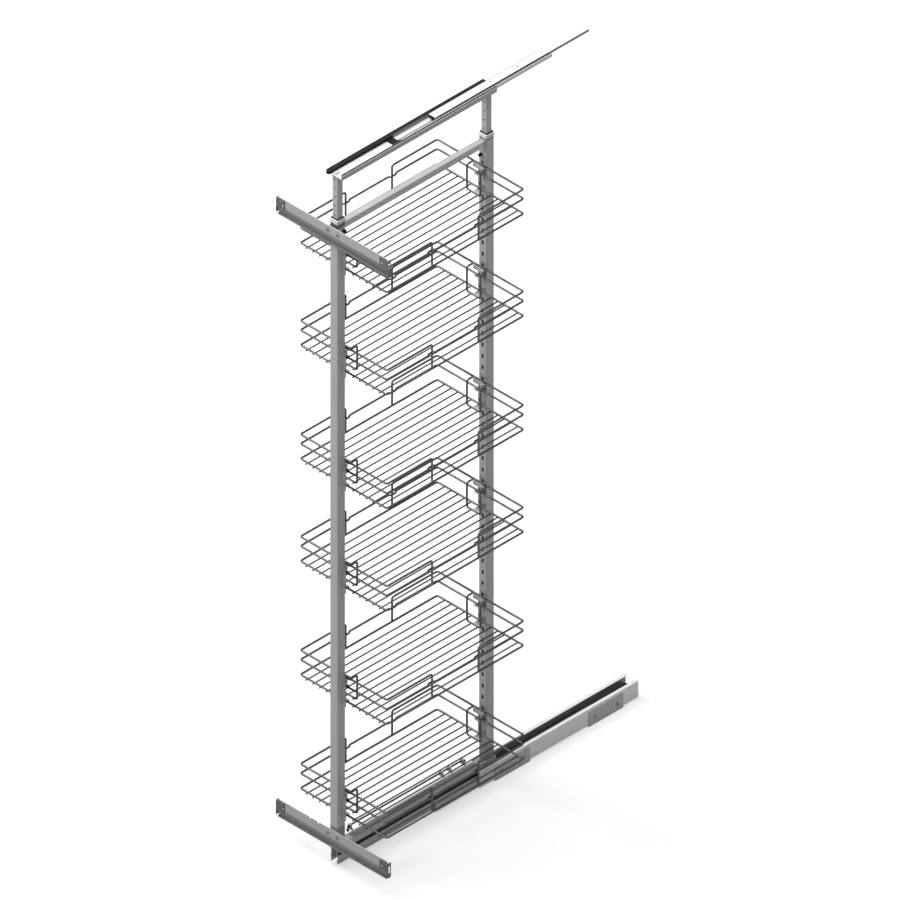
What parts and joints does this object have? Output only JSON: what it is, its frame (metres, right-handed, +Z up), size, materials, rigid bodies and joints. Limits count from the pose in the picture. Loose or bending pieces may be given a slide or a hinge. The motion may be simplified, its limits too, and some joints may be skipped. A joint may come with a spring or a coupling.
{
  "type": "pull out larder unit",
  "caption": "Tall pull out larder frame on top and bottom ball runners, with telescopic posts, hook-on wire baskets and door brackets.",
  "frame": {"origin": "centre of the cabinet rail of the lower runner, on the cabinet's floor, midway between its two floor screws", "axes": "+Z up, +Y into the cabinet along the runners, +X to the right of someone who faces the door; the unit is stored pulled out towards -Y"},
  "size_m": [0.364, 0.9761, 1.9595],
  "materials": {
    "coated_steel": "satin silver grey coat",
    "zinc_steel": "bright zinc plate",
    "dark_steel": "satin grey coat",
    "grey_plastic": "matt",
    "pale_plastic": "matt",
    "black_plastic": "matt",
    "black_rubber": "matt",
    "chromed_wire": "bright chrome"
  },
  "bodies": {
    "cabinet_fixings": {"lower_cabinet_rail": "zinc_steel", "front_guide_cap": "grey_plastic", "front_saddle": "dark_steel", "rear_saddle": "dark_steel", "saddle_screws": "dark_steel", "rail_end_stop": "black_rubber"},
    "lower_middle": {"lower_middle_rail": "dark_steel"},
    "lower_outer_cage": {"lower_outer_ball_cage": "zinc_steel"},
    "lower_inner_cage": {"lower_inner_ball_cage": "zinc_steel"},
    "frame": {"lower_moving_rail": "coated_steel", "rail_guide_strips": "black_plastic", "rail_cover_strip": "grey_plastic", "front_post_foot": "grey_plastic", "rear_post_foot": "grey_plastic", "front_post": "coated_steel", "rear_post": "coated_steel", "crossbar": "zinc_steel", "front_collar": "pale_plastic", "rear_collar": "pale_plastic", "clamp_screws": "black_plastic", "top_door_bracket": "coated_steel", "bottom_door_bracket": "coated_steel", "top_bracket_clips": "dark_steel", "bottom_bracket_clips": "dark_steel", "bracket_plates": "dark_steel", "bracket_screws": "dark_steel", "catch_rod": "black_plastic", "rod_clips": "dark_steel", "front_hanger_1": "zinc_steel", "front_hanger_2": "zinc_steel", "front_hanger_3": "zinc_steel", "front_hanger_4": "zinc_steel", "front_hanger_5": "zinc_steel", "front_hanger_6": "zinc_steel", "rear_hanger_1": "zinc_steel", "rear_hanger_2": "zinc_steel", "rear_hanger_3": "zinc_steel", "rear_hanger_4": "zinc_steel", "rear_hanger_5": "zinc_steel", "rear_hanger_6": "zinc_steel"},
    "inner_frame": {"front_inner_post": "coated_steel", "rear_inner_post": "coated_steel", "inner_post_plugs": "dark_steel", "upper_moving_channel": "zinc_steel", "channel_screws": "dark_steel", "damper_housing": "black_plastic"},
    "top_member": {"upper_cabinet_rail": "zinc_steel", "upper_rail_nose": "black_plastic"},
    "top_middle": {"upper_middle_rail": "zinc_steel", "upper_middle_nose": "black_plastic"},
    "top_cage": {"upper_ball_cage": "zinc_steel"},
    "basket_1": {"basket_1": "chromed_wire"},
    "basket_2": {"basket_2": "chromed_wire"},
    "basket_3": {"basket_3": "chromed_wire"},
    "basket_4": {"basket_4": "chromed_wire"},
    "basket_5": {"basket_5": "chromed_wire"},
    "basket_6": {"basket_6": "chromed_wire"}
  },
  "joints": [
    {"name": "pull_out", "type": "slide", "parent": "cabinet_fixings", "child": "frame", "axis": [0, -1, 0], "range_m": [-0.316, 0.063]},
    {"name": "lower_middle_slide", "type": "slide", "parent": "cabinet_fixings", "child": "lower_middle", "axis": [0, -1, 0], "range_m": [-0.1, 0.021]},
    {"name": "lower_outer_cage_slide", "type": "slide", "parent": "cabinet_fixings", "child": "lower_outer_cage", "axis": [0, -1, 0], "range_m": [-0.05, 0.011]},
    {"name": "lower_inner_cage_slide", "type": "slide", "parent": "cabinet_fixings", "child": "lower_inner_cage", "axis": [0, -1, 0], "range_m": [-0.21, 0.043]},
    {"name": "post_height", "type": "slide", "parent": "frame", "child": "inner_frame", "axis": [0, 0, 1], "range_m": [-0.11, 0.1]},
    {"name": "top_height", "type": "slide", "parent": "cabinet_fixings", "child": "top_member", "axis": [0, 0, 1], "range_m": [-0.11, 0.1]},
    {"name": "top_middle_slide", "type": "slide", "parent": "top_member", "child": "top_middle", "axis": [0, -1, 0], "range_m": [-0.126, 0.026]},
    {"name": "top_cage_slide", "type": "slide", "parent": "top_member", "child": "top_cage", "axis": [0, -1, 0], "range_m": [-0.063, 0.013]},
    {"name": "basket_1_lift", "type": "slide", "parent": "frame", "child": "basket_1", "axis": [0, 0, 1], "range_m": [0, 0.016]},
    {"name": "basket_2_lift", "type": "slide", "parent": "frame", "child": "basket_2", "axis": [0, 0, 1], "range_m": [0, 0.016]},
    {"name": "basket_3_lift", "type": "slide", "parent": "frame", "child": "basket_3", "axis": [0, 0, 1], "range_m": [0, 0.016]},
    {"name": "basket_4_lift", "type": "slide", "parent": "frame", "child": "basket_4", "axis": [0, 0, 1], "range_m": [0, 0.016]},
    {"name": "basket_5_lift", "type": "slide", "parent": "frame", "child": "basket_5", "axis": [0, 0, 1], "range_m": [0, 0.016]},
    {"name": "basket_6_lift", "type": "slide", "parent": "frame", "child": "basket_6", "axis": [0, 0, 1], "range_m": [0, 0.016]}
  ],
  "couplings": [
    {"joint": "lower_middle_slide", "follows": "pull_out", "ratio": 0.31},
    {"joint": "lower_outer_cage_slide", "follows": "pull_out", "ratio": 0.155},
    {"joint": "lower_inner_cage_slide", "follows": "pull_out", "ratio": 0.655},
    {"joint": "top_middle_slide", "follows": "pull_out", "ratio": 0.395},
    {"joint": "top_cage_slide", "follows": "pull_out", "ratio": 0.1975},
    {"joint": "top_height", "follows": "post_height", "ratio": 1}
  ]
}
